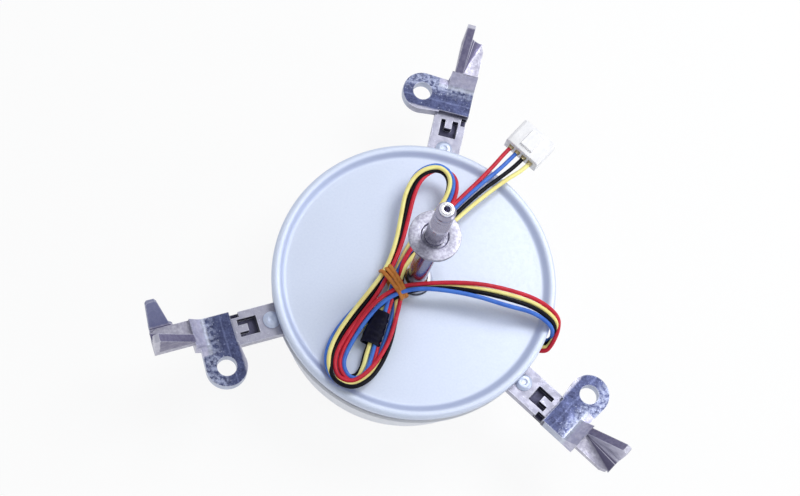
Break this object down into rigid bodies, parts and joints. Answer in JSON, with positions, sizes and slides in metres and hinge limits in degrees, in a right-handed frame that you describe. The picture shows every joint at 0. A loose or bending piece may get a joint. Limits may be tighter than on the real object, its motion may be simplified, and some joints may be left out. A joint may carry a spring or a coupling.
{
  "type": "fan motor",
  "caption": "Flat round motor in a shallow metal can, three cast legs with screw lugs and end plates, long stepped shaft with a drive flange, and a folded wire lead with a plug",
  "frame": {"origin": "on the shaft axis, in the plane of the three screw lug faces", "axes": "+Z along the shaft, out of the cover; +Y along the leg without a wing that has no other leg opposite, the wing leg lies at 210 degrees"},
  "size_m": [0.1461, 0.1263, 0.091],
  "materials": {
    "cast_metal": "cast, fine grain",
    "cover_metal": "zinc plated sheet",
    "can_metal": "zinc plated sheet",
    "rivet_metal": "satin",
    "sintered_bronze": "matt sintered",
    "turned_steel": "bright turned",
    "rotor_iron": "dull",
    "washer_plastic": "matt",
    "magnet_ferrite": "dull ground",
    "white_plastic": "matt",
    "enamelled_copper": "enamelled",
    "board_laminate": "satin",
    "screw_steel": "satin",
    "dark_plastic": "matt",
    "capacitor_can": "satin",
    "grommet_rubber": "matt",
    "red_insulation": "satin",
    "blue_insulation": "satin",
    "black_insulation": "satin",
    "yellow_insulation": "satin",
    "amber_rubber": "matt",
    "sleeve_plastic": "matt, wrinkled",
    "connector_plastic": "matt",
    "terminal_brass": "tin plated"
  },
  "bodies": {
    "motor_body": {"cast_bracket": "cast_metal", "front_cover": "cover_metal", "rear_housing": "can_metal", "rivets": "rivet_metal", "front_bearing": "sintered_bronze", "rear_bearing": "sintered_bronze", "stator_core": "rotor_iron", "upper_insulator": "white_plastic", "lower_insulator": "white_plastic", "windings": "enamelled_copper", "circuit_board": "board_laminate", "board_spacers": "white_plastic", "board_screws": "screw_steel", "power_switches": "dark_plastic", "board_capacitors": "capacitor_can", "wire_grommet": "grommet_rubber", "wire_red": "red_insulation", "wire_blue": "blue_insulation", "wire_black": "black_insulation", "wire_yellow": "yellow_insulation", "rubber_band": "amber_rubber", "splice_sleeve": "sleeve_plastic", "connector_housing": "connector_plastic", "connector_terminals": "terminal_brass"},
    "rotor": {"shaft": "turned_steel", "drive_flange": "turned_steel", "rotor_core": "rotor_iron", "rotor_spacer": "washer_plastic", "front_thrust_washer": "washer_plastic", "rear_thrust_washer": "washer_plastic", "rotor_magnets": "magnet_ferrite"}
  },
  "joints": [
    {"name": "rotor_spin", "type": "hinge", "parent": "motor_body", "child": "rotor", "pos_m": [0, 0, 0], "axis": [0, 0, 1], "continuous": true}
  ]
}
